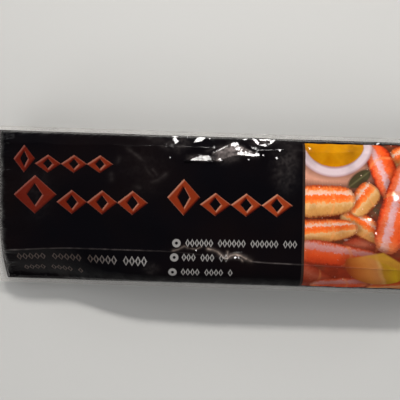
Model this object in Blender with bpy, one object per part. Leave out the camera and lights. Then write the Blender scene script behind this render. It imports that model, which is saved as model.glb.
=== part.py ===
"""A film pack of frozen seafood, lying on its back with its printed front up.

Metres, +Z up. X runs along the pack, +Y points to the top of its print, and the origin lies on the
surface under it, below the middle of its box. The pack is one piece: a filled pouch whose front and
back film meet in a thin sealed margin all round. Its front is nearly flat down to a crease, below
which the film turns away, steeply at the left end and hardly at all at the right one.
"""

import math

import bmesh
import bpy

# The filled pouch inside its seal, and the sealed margin round it
POUCH_LENGTH = 0.360
POUCH_WIDTH = 0.1185
END_MARGIN = 0.008
SIDE_MARGIN = 0.004
MARGIN_THICKNESS = 0.0005
CORNER_TRIM = 0.45  # share of the margin that is left at its rounded corners

# The left end, drawn in towards the edge below the print
DRAWN_IN = 0.0075  # at its lower corner
DRAWN_IN_POWER = 4.5
DRAWN_IN_FROM = -0.110  # the place along X that nothing right of is moved

# Levels above the resting surface
FRONT_LEVEL = 0.0415
FRONT_CROWN = 0.0025
SEAL_LEVEL_TOP = 0.021  # along the edge above the print
SEAL_LEVEL_BOTTOM = 0.009  # along the edge below the print
SEAL_WAVE = 0.0012

# How squarely the film rolls over: the higher the power, the flatter the face up to its edge
END_POWER = 17
SIDE_POWER = 16
BACK_POWER = 5
BACK_SPREAD = 1.25  # the back lies flat where its own roll, times this, passes 1
BACK_EASE = 1.6  # how gently it leaves the surface that it lies on

# Pleats where the film is drawn in to its seal
GATHER_HEIGHT = 0.0024
GATHER_PACE_SIDES = 0.0030  # length along the seal for each radian of a pleat
GATHER_PACE_ENDS = 0.0026

# The crease across the front, and the strip below it
CREASE_Y_LEFT = -0.0322
CREASE_Y_RIGHT = -0.0388
CREASE_BEND = (-0.050, 0.045)  # the crease runs down between these places along X
CREASE_DROOP_LEFT = 0.0045  # how much lower it is at the left end of the pouch
CREASE_DROOP_RIGHT = 0.0035
CREASE_DROOP_FROM = (-0.115, 0.045)  # where it starts to droop, at the left and at the right
CREASE_RADIUS = 0.0012
STRIP_TILT_LEFT = math.radians(50)
STRIP_TILT_RIGHT = math.radians(9)
STRIP_TWIST = (-0.145, -0.050)  # the strip's tilt eases between these places along X

# Contents that push the front up: middle, direction, half length, half width and height
LUMPS = (
    ((-0.120, 0.018), 12, 0.050, 0.013, 0.0018),
    ((-0.062, -0.008), -20, 0.046, 0.012, 0.0016),
    ((-0.012, 0.022), 8, 0.048, 0.014, 0.0020),
    ((0.046, -0.012), -14, 0.052, 0.013, 0.0019),
    ((0.094, 0.020), 24, 0.046, 0.014, 0.0022),
    ((0.136, -0.022), -32, 0.036, 0.013, 0.0020),
    ((0.020, -0.044), 4, 0.060, 0.010, 0.0014),
)

# Folds that stand up from the front: one end, the other end, half width and height
FOLDS = (
    ((-0.029, 0.0405), (-0.010, 0.0440), 0.0036, 0.0016),  # the loose pocket of film, its tail
    ((-0.010, 0.0440), (0.006, 0.0530), 0.0042, 0.0022),  # the same, up to its peak
    ((0.006, 0.0530), (0.024, 0.0465), 0.0042, 0.0020),  # the same, down again
    ((0.022, 0.0535), (0.036, 0.0535), 0.0048, 0.0018),  # the dent beside it
    ((-0.030, -0.0285), (0.001, -0.0340), 0.0040, 0.0014),  # crumpled stretch of the crease
    ((0.007, -0.0338), (0.026, -0.0380), 0.0040, 0.0014),
)

# Mesh cells, and how much they crowd towards the rolled edges
CELLS_LONG = 72
CELLS_WIDE = 32
MARGIN_CELLS = 2
CROWDING = 0.70

FILM_COLOUR = (0.006, 0.0055, 0.007, 1.0)
FILM_ROUGHNESS = 0.16

HALF_LENGTH = POUCH_LENGTH / 2
HALF_WIDTH = POUCH_WIDTH / 2


def clear_scene():
    for thing in list(bpy.data.objects):
        bpy.data.objects.remove(thing, do_unlink=True)


def blend(low, high, share):
    return low + (high - low) * share


def smooth_step(start, end, value):
    share = min(1.0, max(0.0, (value - start) / (end - start)))
    return share * share * (3 - 2 * share)


def draw_in(x, y):
    """Moves a place near the left end in, more and more towards the edge below the print."""
    low = min(1.0, max(0.0, 0.5 - 0.5 * y / HALF_WIDTH))
    return x + DRAWN_IN * low**DRAWN_IN_POWER * smooth_step(DRAWN_IN_FROM, -HALF_LENGTH, x)


def roll(share, power):
    """1 on the flat of a face, falling as a rounded edge to 0 where share reaches 1 or -1."""
    return math.sqrt(max(0.0, 1 - abs(share) ** power))


def seal_level(x, y):
    """Height of the sealed margin, which sags and waves a little along the pack."""
    across = 0.5 + 0.5 * max(-1.0, min(1.0, y / HALF_WIDTH))
    wave = 0.6 * math.sin(x / 0.0155 + 1.1) + 0.4 * math.sin(x / 0.0083 + y / 0.012)
    return blend(SEAL_LEVEL_BOTTOM, SEAL_LEVEL_TOP, across) + SEAL_WAVE * wave


def crease_y(x):
    """Where the crease crosses the front: it runs down to the right and droops at both ends."""
    left_from, right_from = CREASE_DROOP_FROM
    left_share = max(0.0, (left_from - x) / (left_from + HALF_LENGTH))
    right_share = max(0.0, (x - right_from) / (HALF_LENGTH - right_from))
    droop = CREASE_DROOP_LEFT * left_share**1.5 + CREASE_DROOP_RIGHT * right_share
    return blend(CREASE_Y_LEFT, CREASE_Y_RIGHT, smooth_step(*CREASE_BEND, x)) - droop


def strip_drop(x, y):
    """How far the film below the crease has fallen from the plane of the front."""
    past = crease_y(x) - y
    rounded = 0.5 * (past + math.hypot(past, CREASE_RADIUS))
    tilt = blend(STRIP_TILT_LEFT, STRIP_TILT_RIGHT, smooth_step(*STRIP_TWIST, x))
    return rounded * math.tan(tilt)


def lump(x, y, middle, degrees, half_length, half_width, height):
    turn = math.radians(degrees)
    east = x - middle[0]
    north = y - middle[1]
    along = (east * math.cos(turn) + north * math.sin(turn)) / half_length
    across = (north * math.cos(turn) - east * math.sin(turn)) / half_width
    return height * math.exp(-(along**4) - across**2)


def fold(x, y, start, end, half_width, height):
    """A ridge along a line, with a sharp crest and ends that die away."""
    run = (end[0] - start[0], end[1] - start[1])
    length = math.hypot(*run)
    along = ((x - start[0]) * run[0] + (y - start[1]) * run[1]) / length
    nearest = min(length, max(0.0, along)) / length
    gap = math.hypot(x - start[0] - nearest * run[0], y - start[1] - nearest * run[1])
    return height * math.exp(-gap / half_width)


def front_level(x, y):
    """Where the front film would lie if it had no edges to roll over."""
    crown = FRONT_CROWN * (1 - (x / HALF_LENGTH) ** 2) * (1 - (y / HALF_WIDTH) ** 2)
    relief = sum(lump(x, y, *each) for each in LUMPS) + sum(fold(x, y, *each) for each in FOLDS)
    return FRONT_LEVEL + crown + relief - strip_drop(x, y)


def gathers(x, y, end_roll, side_roll):
    """Pleats across the rolled edges, gone both on the flat of the face and at the seal."""
    along_sides = math.sin(x / GATHER_PACE_SIDES + 1.7 * math.sin(x / 0.021 + y / 0.030))
    along_ends = math.sin(y / GATHER_PACE_ENDS + 1.3 * math.sin(y / 0.013 + x / 0.050))
    drawn_in = (1 - side_roll) * along_sides + (1 - end_roll) * along_ends
    return GATHER_HEIGHT * drawn_in * end_roll * side_roll


def front_height(x, y):
    seal = seal_level(x, y)
    end_roll = roll(x / HALF_LENGTH, END_POWER)
    side_roll = roll(y / HALF_WIDTH, SIDE_POWER)
    rise = (front_level(x, y) - seal) * end_roll * side_roll
    return seal + MARGIN_THICKNESS / 2 + rise + gathers(x, y, end_roll, side_roll)


def back_height(x, y):
    end_roll = roll(x / HALF_LENGTH, BACK_POWER)
    side_roll = roll(y / HALF_WIDTH, BACK_POWER)
    lifted = max(0.0, 1 - BACK_SPREAD * end_roll * side_roll) ** BACK_EASE
    height = (seal_level(x, y) - MARGIN_THICKNESS / 2) * lifted
    return max(0.0, height + gathers(x, y, end_roll, side_roll) * lifted)


def grid_place(index, cells, half_size, margin):
    """Where a line of the mesh runs: even in the margin, and crowded towards the rolled edge."""
    inner = index - MARGIN_CELLS
    if inner < 0:
        return -half_size + margin * inner / MARGIN_CELLS
    if inner > cells:
        return half_size + margin * (inner - cells) / MARGIN_CELLS
    share = 2 * inner / cells - 1
    return half_size * blend(share, math.sin(share * math.pi / 2), CROWDING)


def trimmed(place, half_size, margin):
    outside = abs(place) - half_size
    return math.copysign(half_size + min(outside, margin * CORNER_TRIM), place)


def plan_place(column, row):
    x = grid_place(column, CELLS_LONG, HALF_LENGTH, END_MARGIN)
    y = grid_place(row, CELLS_WIDE, HALF_WIDTH, SIDE_MARGIN)
    at_corner = abs(x) > HALF_LENGTH + END_MARGIN * CORNER_TRIM and abs(y) > HALF_WIDTH
    if at_corner and abs(y) > HALF_WIDTH + SIDE_MARGIN * CORNER_TRIM:
        return trimmed(x, HALF_LENGTH, END_MARGIN), trimmed(y, HALF_WIDTH, SIDE_MARGIN)
    return x, y


def add_sheet(mesh, height_of, facing_down):
    """One film as a grid, laid on the heights of one face of the pack. Returns its rim's edges."""
    columns = CELLS_LONG + 2 * MARGIN_CELLS
    rows = CELLS_WIDE + 2 * MARGIN_CELLS
    sheet = bmesh.ops.create_grid(mesh, x_segments=columns, y_segments=rows, size=1)["verts"]
    for corner in sheet:
        column = round((corner.co.x + 1) / 2 * columns)
        row = round((corner.co.y + 1) / 2 * rows)
        x, y = plan_place(column, row)
        corner.co = (draw_in(x, y), y, height_of(x, y))
    faces = list({face for corner in sheet for face in corner.link_faces})
    if facing_down:
        bmesh.ops.reverse_faces(mesh, faces=faces)
    return [edge for edge in {e for face in faces for e in face.edges} if edge.is_boundary]


def merge_flat_underside(mesh):
    """The part of the back that lies on the surface becomes one flat face."""
    flat = [face for face in mesh.faces if all(corner.co.z == 0 for corner in face.verts)]
    bmesh.ops.dissolve_faces(mesh, faces=flat, use_verts=True)


def film_material():
    film = bpy.data.materials.new("printed_film")
    film.use_nodes = True
    shader = film.node_tree.nodes["Principled BSDF"]
    shader.inputs["Base Color"].default_value = FILM_COLOUR
    shader.inputs["Roughness"].default_value = FILM_ROUGHNESS
    shader.inputs["Metallic"].default_value = 0.0
    return film


def make_pouch(collection):
    """Front film, back film and the margin where they meet, as one closed body."""
    mesh = bmesh.new()
    front_rim = add_sheet(mesh, front_height, facing_down=False)
    back_rim = add_sheet(mesh, back_height, facing_down=True)
    bmesh.ops.bridge_loops(mesh, edges=front_rim + back_rim)
    merge_flat_underside(mesh)
    bmesh.ops.triangulate(mesh, faces=mesh.faces)
    bmesh.ops.recalc_face_normals(mesh, faces=mesh.faces)
    data = bpy.data.meshes.new("pouch")
    mesh.to_mesh(data)
    mesh.free()
    data.materials.append(film_material())
    data.shade_smooth()
    data.set_sharp_from_angle(angle=math.radians(50))
    pouch = bpy.data.objects.new("pouch", data)
    collection.objects.link(pouch)
    return pouch


def main():
    clear_scene()
    pack = bpy.data.collections.new("frozen_seafood_pack")
    bpy.context.scene.collection.children.link(pack)
    make_pouch(pack)


main()
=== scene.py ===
"""Looks of the frozen seafood pack: printed front film, plain back film and clear sealed margin.

Metres, in the frame of the CAD model. The films are fine grids laid on the same forms as the solid
pouch, with the small folds of real film added. The print is painted by shader nodes in the print's
own plane, which follows the film round the crease.
"""

import math
from functools import partialmethod, reduce

import bmesh
import bpy
import numpy as np
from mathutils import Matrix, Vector


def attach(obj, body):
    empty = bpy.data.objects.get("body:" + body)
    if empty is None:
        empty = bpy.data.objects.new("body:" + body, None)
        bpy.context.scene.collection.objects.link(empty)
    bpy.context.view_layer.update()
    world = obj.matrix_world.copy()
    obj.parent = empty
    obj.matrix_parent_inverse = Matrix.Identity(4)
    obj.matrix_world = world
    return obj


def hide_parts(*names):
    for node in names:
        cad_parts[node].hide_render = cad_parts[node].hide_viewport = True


# The pouch's forms, as in the CAD model
POUCH_LENGTH = 0.360
POUCH_WIDTH = 0.1185
END_MARGIN = 0.008
SIDE_MARGIN = 0.004
FILM_THICKNESS = 0.00025  # of the two layers of the sealed margin
DRAWN_IN = 0.0075
DRAWN_IN_POWER = 4.5
DRAWN_IN_FROM = -0.110
FRONT_LEVEL = 0.0415
FRONT_CROWN = 0.0025
SEAL_LEVEL_TOP = 0.021
SEAL_LEVEL_BOTTOM = 0.009
SEAL_WAVE = 0.0012
SEAL_SLOW = (0.6, 0.0155, 1.1)  # the longer of its two waves: share, pace and shift
SEAL_FAST = (0.4, 0.0083, 0.012)  # the shorter one: share, pace along and pace across
END_POWER = 17
SIDE_POWER = 16
BACK_POWER = 5
BACK_SPREAD = 1.25
BACK_EASE = 1.6
GATHER_HEIGHT = 0.0024
# Gathers: their pace, how far they stray, and over what length along and across the edge
GATHERS_ON_SIDES = (0.0030, 1.7, 0.021, 0.030)
GATHERS_ON_ENDS = (0.0026, 1.3, 0.013, 0.050)
CREASE_Y_LEFT = -0.0322
CREASE_Y_RIGHT = -0.0388
CREASE_BEND = (-0.050, 0.045)
CREASE_DROOP_LEFT = 0.0045
CREASE_DROOP_RIGHT = 0.0035
CREASE_DROOP_POWER = 1.5  # of the left one
CREASE_DROOP_FROM = (-0.115, 0.045)
CREASE_RADIUS = 0.0012
STRIP_TILT_LEFT = math.radians(50)
STRIP_TILT_RIGHT = math.radians(9)
STRIP_TWIST = (-0.145, -0.050)
LUMPS = (  # middle, direction in degrees, half length, half width, height
    ((-0.120, 0.018), 12, 0.050, 0.013, 0.0018),
    ((-0.062, -0.008), -20, 0.046, 0.012, 0.0016),
    ((-0.012, 0.022), 8, 0.048, 0.014, 0.0020),
    ((0.046, -0.012), -14, 0.052, 0.013, 0.0019),
    ((0.094, 0.020), 24, 0.046, 0.014, 0.0022),
    ((0.136, -0.022), -32, 0.036, 0.013, 0.0020),
    ((0.020, -0.044), 4, 0.060, 0.010, 0.0014),
)
HALF_LENGTH = POUCH_LENGTH / 2
HALF_WIDTH = POUCH_WIDTH / 2

# The camera, hung over the pack with the photograph's frame, and the light that its facets mirror to it
CAMERA_PLACE = (-0.0184, 0.0086, 0.666)
CAMERA_ROLL = math.radians(1.86)
FRAME_PIXELS = 400
FOCAL_PIXELS = 800
SENSOR_MM = 36.0
KEY_PLACE = (0.06, 1.17, 1.12)


def blend(low, high, share):
    return low + (high - low) * share


def smooth_step(start, end, value):
    share = np.clip((value - start) / (end - start), 0, 1)
    return share * share * (3 - 2 * share)


def mm(sizes):
    """Sizes given in millimetres, one or a nested group of them, in metres."""
    return tuple(mm(each) for each in sizes) if isinstance(sizes, tuple) else sizes / 1000


# ---- wrinkles of the film, which the CAD model leaves out or makes coarser ----

# The loose pocket of film near the top edge, between a lower and an upper rim
POCKET_X = mm((-29.5, -19.5, -10.2, -4.1, 2, 5.8, 11.3, 17.7, 24.8))
POCKET_LOW = mm((39.4, 38.8, 38.7, 39.3, 42, 43.6, 44, 44.1, 45.5))
POCKET_HIGH = mm((39.8, 42.8, 45.1, 49.6, 52.9, 54.2, 52.4, 49.1, 45.8))
POCKET_RISE = mm((0, 1.5, 2.2, 0.9, 0.6, 0.8, 1, 1, 0))
POCKET_RIM = 0.0008  # how far the film takes to come down outside a rim
POCKET_SLOPE = 0.10  # share of the rise that is left at the upper rim

# Sharp folds: points along the crest, half width, height
RIDGES = mm((
    # the crease: rising at its crumpled stretch, broken where two folds meet, and on to the right
    (((-41.3, -31.5), (-35.1, -29.3), (-28.9, -27.6), (-24.3, -29.2)), 1, 0.6),
    (((-24.3, -29.2), (-20.5, -30.8), (-15.6, -30), (-10.8, -29.2)), 0.8, 0.5),
    (((-10.8, -29.2), (-3.9, -30.3), (-0.2, -32.7), (1.9, -35)), 1.4, 1.3),
    (((1.9, -35), (3.7, -36.7)), 1, 1),
    (((2.9, -35.1), (4.2, -31.4)), 0.8, 0.5),
    (((1.9, -35), (6.1, -34.2), (9.4, -33), (14.5, -33.9)), 1.4, 1.2),
    (((14.5, -33.9), (18.7, -35.9), (22, -36.8)), 1.6, 1),
    (((11.1, -35.2), (15.1, -37.8)), 1.2, 0.6),
    # the pocket's upper rim and its peak, its lower rim, and a fold that runs into its tail
    (((-10.2, 45.1), (-4.1, 49.6), (2, 52.9), (5.8, 54.2)), 1.2, 0.9),
    (((5.8, 54.2), (11.3, 52.4), (17.7, 49.1), (24.8, 45.8)), 1, 0.8),
    (((3, 53.5), (9, 53.7)), 1.8, 1),
    (((10.1, 44.5), (17.7, 44.1), (24.8, 44.7)), 1.6, 1.2),
    (((-25, 39.2), (-10, 38.8), (-2.3, 39.8)), 1.2, 0.5),
    # long faint folds
    (((39.5, 49.4), (45.2, 41.8), (48.5, 35.7), (51, 30.3)), 3, 0.4),
    (((-75.7, 46.5), (-70.9, 42.7), (-63.7, 36), (-59.7, 33)), 2.2, 0.3),
    (((-63.7, 36), (-55.7, 29.2), (-51.7, 26.2)), 2.6, 0.3),
    (((-77.5, 28.5), (-69.5, 21.7), (-65.4, 16.4)), 2.2, 0.3),
    (((-69.5, 21.7), (-50, 21.6)), 2.2, 0.2),
    (((-10, 54), (-6, 50), (-8, 47)), 2, 0.3),
))
CREASE_RIDGE = 0.00035
CREASE_RIDGE_WIDTH = 0.0007
CREASE_RIDGE_UNEVEN = (0.6, 0.007)  # by what share, and over what length

# The fold along the shoulder above the print, left out where the loose pocket crosses it
SHOULDER_Y = 0.0492
SHOULDER_WAVE = 0.0009
SHOULDER_PACE = 0.011
SHOULDER_HALF_WIDTH = 0.0028
SHOULDER_HEIGHT = 0.0009
SHOULDER_GAP = ((-0.014, -0.006), (0.022, 0.030))

# Crinkled places: middle, half length and width, height
CRINKLES = mm((
    ((29.5, 56), (9.5, 3), 0.3),
    ((4, 47), (8, 4.5), 0.4),
    ((16, 49), (8, 3), 0.5),
    ((-39, 55), (4.5, 3), 0.3),
    ((13, -36.5), (8, 2.2), 0.6),
    ((46, 40), (8, 14), 0.22),
    ((-64, 33), (18, 13), 0.16),
    ((-66, 18), (12, 8), 0.14),
    ((-140, 20), (20, 20), 0.08),
    ((120, 0), (40, 40), 0.12),
))
CRINKLE_PACE = 0.0042
CRINKLE_EVERYWHERE = 0.00003

# Loose places, where the film breaks into small facets: middle, half length and width, amount
LOOSE = (
    ((9, 49), (15, 5), 0.22),
    ((-39, 54.5), (7, 5), 0.40),
    ((48, 48), (6, 6), 0.50),
    ((3, -34), (17, 3), 0.30),
    ((110, 55), (20, 4), 0.50),
    ((128, -30), (20, 12), 0.30),
    ((-66, 25), (22, 18), 0.14),
    ((48, 35), (7, 15), 0.25),
)

# Small folds that run in from the edges: how many, how long, how high
TUCKS_PER_SIDE = 34
TUCKS_PER_END = 12
TUCKS_WITHIN = 0.97  # of an edge's half length
TUCK_START = 0.0005  # from the edge
TUCK_LEAN = 0.5  # most, as a share of its length
TUCK_LENGTH = (0.003, 0.0065)
TUCK_HEIGHT = (0.0001, 0.0004)
TUCK_WIDTH = 0.0009
PLEAT_HEIGHT = 0.00016
PLEAT_PACE = 0.00085
PLEAT_SWAY = 2.5
PLEAT_SWAY_PACE = 0.012
BACK_PLEATS = 3  # how many times higher they are on the back
NOISE_CELLS = 256
CRUMPLE_BEND = (0.6, 1.7)  # how far crumpled folds stray and over what length, both in paces
CRUMPLE_FINE = (0.3, 0.45)  # share of the finer ones, and their pace

# Pinched points of the film, as low cones: middle, radii along X and Y, height
PINCHES = mm((
    ((13, 50), (5, 3), 0.8),
    ((1, -34.5), (6, 3), 1),
    ((14, -34), (7, 3), 1.1),
    ((132, 45), (5, 3.4), 1),
    ((160, -25), (6, 5), 1),
))

# Flat facets of the folded film that mirror the key light: their outlines
FACETS = mm((
    # the pocket's tail
    ((-31.1, 38.6), (-22.2, 42.8), (-12, 44.3), (-9.3, 39.1), (-20.2, 38.6)),
    ((-7, 41.4), (-3.5, 42), (-1.1, 39), (-4.2, 38.3)),
))
FACET_FADE = 0.0008  # over which a facet blends into the film round it

# The same where they are too small for the mesh: only the film's shading turns there
GLINTS = mm((
    # the folded flap
    ((-24.8, 53.3), (-21.3, 59.2), (-15, 58.3), (-19, 54.5)),
    # the dent beside the pocket
    ((21.6, 59), (22.2, 56), (25.6, 52.9), (26.7, 55.2), (24, 58.8)),
    ((25.6, 52.9), (31.3, 52.1), (35.8, 54.1), (36.9, 56.3), (32, 54.7), (26.4, 55.1)),
    ((35.6, 54.1), (40.4, 58.4), (39, 59), (35, 56.6)),
    ((27, 58.6), (37, 59), (36.4, 57.5), (31, 56.6), (27, 56.8)),
    # the pocket's upper rim, its peak, folds inside it and its lower rim
    ((-9.4, 44.4), (-3.5, 48.2), (4.1, 51.8), (4, 52.7), (-3.6, 49.3), (-9.5, 45.5)),
    ((3.4, 51.6), (6.2, 54.5), (9.9, 54.7), (10.6, 52.7), (6.6, 51.3)),
    ((7.4, 48.9), (9, 51.2), (11.7, 50.8), (10.3, 47.6)),
    ((11.4, 48.3), (12.6, 49.6), (13.3, 47.8), (12.1, 46.8)),
    ((15, 47.3), (16.1, 49), (16.7, 46.2)),
    ((18.4, 46.6), (19.3, 48), (20.2, 46.4)),
    ((8.4, 46), (11.2, 46.7), (17, 45.7), (16.4, 44.1), (11.3, 44.9)),
    ((17, 45.7), (23.2, 45.6), (25.8, 45.2), (24.2, 43.8), (16.4, 44.1)),
    ((24, 47), (26.2, 46.3), (27.2, 44.7), (25.6, 44), (23, 45.6)),
    # small ones on the black film
    ((41.3, 49.3), (42.4, 50.6), (43.4, 49.4), (42.3, 48.1)),
    ((39.2, 43.3), (40.4, 44.5), (41.4, 43.3), (40.3, 42.1)),
    ((17.6, 41.1), (18.5, 42), (19.4, 41.1), (18.5, 40.2)),
    ((28.8, 45), (29.7, 45.8), (30.5, 45), (29.7, 44.2)),
    ((-43.6, 41), (-42.8, 41.8), (-42, 41.1), (-42.8, 40.2)),
    # the crumpled stretch of the crease
    ((0.3, -35.2), (2, -34.7), (4.1, -36.1), (3, -37.8), (1, -37.3)),
    ((8.5, -34.9), (10.4, -34.3), (11.8, -35), (10.4, -36.1)),
    ((12.2, -34.6), (13.2, -34.3), (14.1, -35.2), (12.8, -35.8)),
    ((-21.2, -30.8), (-20.5, -30.1), (-19.7, -30.8), (-20.5, -31.5)),
    # small ones along the edge
    ((-41.6, 56.2), (-39.4, 57.5), (-36.4, 54.3), (-39, 51.7)),
    ((-43, 57.8), (-40.9, 59.2), (-36.7, 58.4), (-39, 57.3)),
    ((-30.8, 58.3), (-30.2, 59.2), (-29.1, 58.5), (-29.9, 57.4)),
    ((-13.4, 57.3), (-12.3, 58.4), (-11.3, 57.4), (-12.3, 56.5)),
    ((13.5, 57.4), (15.9, 59), (18.1, 58.3), (15.6, 56.7)),
    # on the picture
    ((115, 55.7), (116.4, 57.5), (117.4, 57.1), (115.9, 55)),
    ((118.9, 57.6), (123.4, 59.2), (125, 59), (121.4, 57.3), (118.8, 55.9)),
    ((130.5, 19), (132, 20.9), (135.2, 16), (134.1, 10.7), (131.7, 14)),
    ((129.7, 17.2), (133.9, 18.2), (137.3, 14.8), (133.9, 12.8)),
    ((110.3, -1.9), (112.3, -0.8), (116.1, -2), (115.5, -3.4), (112.7, -3.7)),
    ((133.3, 7.7), (134.4, 8.7), (135.4, 7.8), (134.3, 6.5)),
    ((65, 51.9), (66.1, 53), (67.2, 51.9), (66.1, 50.8)),
    ((124.4, 46.1), (125.4, 46.2), (127.5, 44.9), (126.4, 44.2)),
    ((118, -12.8), (119.3, -11), (120.3, -13.8), (119.3, -14.6)),
    ((147.5, -6), (150, -3.5), (154, -6), (150.5, -8)),
    ((157, 25), (159, 28.5), (161.5, 26), (159, 23)),
))
GLINT_FADE = 0.0005
GLINT_UNEVEN = 0.03
GLINT_PACE = 0.0013

# Milky places where the clear outer film stands off the print, painted grey both for that milkiness and as
# painted reflection of the film there: middle, half length and width, amount
HAZE_AND_REFLECTION_PATCHES = (
    ((1, 44), (9, 5.5), 0.20),
    ((-17, 41.4), (11, 2.6), 0.20),
    ((29.5, 56.2), (8.5, 3.4), 0.30),
    ((-37, 52), (8, 5), 0.16),
    ((48, 39), (10, 20), 0.080),
    ((-64, 35), (20, 15), 0.012),
    ((-62, 19), (16, 9), 0.010),
    ((8, -34.5), (11, 2.4), 0.12),
    ((-145, 10), (12, 20), 0.016),
    ((-55, -47), (6, 5), 0.040),
    ((125, 10), (25, 30), 0.035),
)
HAZE_PACE = 0.0062
HAZE_SHARES = (0.35, 0.65)  # at the least, and how much more at the most
HAZE_FROM = (0.3, 0.95)
HAZE_GRAIN_PACE = 0.0015
HAZE_GRAIN = 0.5
# the pocket's inside is painted milky grey, which also stands in for its reflections
POCKET_HAZE_AND_REFLECTION = 0.62
POCKET_BLUR = 0.0006

# Painted sheen: pale strokes along faint creases and along the pocket's rims, where they would catch the
# light: points, half width, amount
SHEEN_STROKES = (
    (((-76.2, 46.5), (-71, 43.5), (-66.1, 39.8), (-62.9, 37.5)), 1.2, 0.074),
    (((-63.3, 35.2), (-60.4, 30.6), (-58, 27.9), (-55.6, 26.1)), 1, 0.074),
    (((-56.1, 31.1), (-54.1, 29.2), (-52.5, 27)), 1, 0.068),
    (((-56.2, 21.4), (-51.6, 23.1), (-48.5, 25.5), (-45.5, 28)), 1.3, 0.074),
    (((-82.5, 39.2), (-83.1, 36.1)), 1.2, 0.062),
    (((-87.9, 26.2), (-87.5, 22.7)), 1.2, 0.062),
    (((-70.1, 17.8), (-65.4, 16.4)), 1.3, 0.056),
    (((43.6, 44.1), (47.6, 39.6), (49.7, 34.2)), 1, 0.099),
    (((56.1, 39.4), (51.5, 37.3), (48.5, 34.1)), 1, 0.081),
    (((-14.2, 46.9), (-7.2, 49.9), (-2.6, 50.9)), 0.9, 0.087),
    (((-62, 57.9), (-52.9, 55), (-44.9, 52.3), (-36.9, 50.2)), 2.9, 0.056),
    (((-50.2, 49.7), (-43, 46.8), (-36.7, 45)), 1.8, 0.043),
    (((9.1, 52.5), (16.2, 48.7), (22.5, 46.2)), 0.5, 0.45),
    (((-9.4, 45), (-3, 49.1), (4.1, 52.3)), 0.6, 0.35),
    (((8.4, 44.8), (17, 44.5), (25, 44.7)), 0.8, 0.45),
)
SHEEN_STROKE_PACE = 0.0035
SHEEN_STROKES_BROKEN = 0.4

# Lines where the print is worn pale along sharp folds, also a painted highlight on their crests: points, half
# width, amount
WORN_AND_HIGHLIGHT_LINES = (
    (((-10.9, -29.3), (-7, -30), (-3.1, -31.4), (0.1, -34.4), (3.3, -36.6)), 0.6, 0.85),
    (((4.1, -35.4), (4.4, -31)), 0.5, 0.45),
    (((3.3, -36.6), (6.3, -34.2), (10.2, -32.7), (14.9, -33.9), (18.9, -36.1)), 0.6, 0.85),
    (((18.9, -36.1), (22.8, -37.6)), 0.8, 0.30),
    (((14.6, -35.5), (16.2, -37.8)), 0.5, 0.45),
    (((-38.1, -31.4), (-34.3, -30.5), (-31.2, -28.7), (-29.3, -27.7), (-26.5, -29)), 0.5, 0.34),
    (((-25, -29.4), (-20.3, -29.8), (-16.1, -27.7)), 0.4, 0.30),
)
WORN_HIGHLIGHT_PACE = 0.0025
WORN_HIGHLIGHT_BROKEN = 0.35
# half width of the crease's pale line: worn print and painted highlight
CREASE_WEAR_HIGHLIGHT_WIDTH = 0.00045
# How pale the crease's line is, as worn print and as its painted highlight: places along X, and amounts there
CREASE_WEAR_HIGHLIGHT_X = mm((-176, -170, -150, -100, -70, -45, -10, 20, 28, 56, 66, 120, 150))
CREASE_WEAR_HIGHLIGHT = (0.0, 0.34, 0.22, 0.16, 0.20, 0.08, 0.05, 0.12, 0.36, 0.30, 0.10, 0.08, 0.0)


def noise(x, y, pace, seed):
    """Smooth random heights from -1 to 1 that change over this pace."""
    heights = np.random.default_rng(seed).uniform(-1, 1, (NOISE_CELLS, NOISE_CELLS))
    column = np.floor(x / pace).astype(int)
    row = np.floor(y / pace).astype(int)
    across = smooth_step(0, 1, x / pace - column)
    up = smooth_step(0, 1, y / pace - row)

    def height(east, north):
        return heights[(row + north) % NOISE_CELLS, (column + east) % NOISE_CELLS]

    low = blend(height(0, 0), height(1, 0), across)
    high = blend(height(0, 1), height(1, 1), across)
    return blend(low, high, up)


def crumple(x, y, pace, seed):
    """Sharp-crested folds in all directions, from 0 to 1."""
    bend, bend_pace = CRUMPLE_BEND
    share, fine_pace = CRUMPLE_FINE
    bent_x = x + pace * bend * noise(x, y, pace * bend_pace, seed + 1)
    bent_y = y + pace * bend * noise(x, y, pace * bend_pace, seed + 2)
    coarse = 1 - np.abs(noise(bent_x, bent_y, pace, seed))
    fine = 1 - np.abs(noise(bent_x, bent_y, pace * fine_pace, seed + 3))
    return (1 - share) * coarse + share * fine


def distance_to_line(x, y, start, end):
    run = (end[0] - start[0], end[1] - start[1])
    length = math.hypot(*run)
    along = ((x - start[0]) * run[0] + (y - start[1]) * run[1]) / length
    nearest = np.clip(along / length, 0, 1)
    return np.hypot(x - start[0] - nearest * run[0], y - start[1] - nearest * run[1])


def ridge(x, y, points, half_width, height):
    """A fold with a sharp crest along these points."""
    gaps = [distance_to_line(x, y, start, end) for start, end in zip(points, points[1:])]
    return height * np.exp(-np.min(gaps, axis=0) / half_width)


def far_from(x, y, middle, radii):
    """Distance from the middle of a patch, 1 at its half length and width."""
    return np.hypot((x - middle[0]) / radii[0], (y - middle[1]) / radii[1])


def patches(x, y, places):
    """How far each place is covered by these soft patches, from 0 to 1."""
    far = [(share, far_from(x, y, mm(middle), mm(radii))) for middle, radii, share in places]
    return np.max([share * np.exp(-(each**3)) for share, each in far], axis=0)


def strokes(x, y, lines):
    """How far each place is covered by these strokes, from 0 to 1."""
    return np.max([ridge(x, y, mm(points), mm(width), amount) for points, width, amount in lines], axis=0)


def pocket_rims(x):
    return np.interp(x, POCKET_X, POCKET_LOW), np.interp(x, POCKET_X, POCKET_HIGH)


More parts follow.
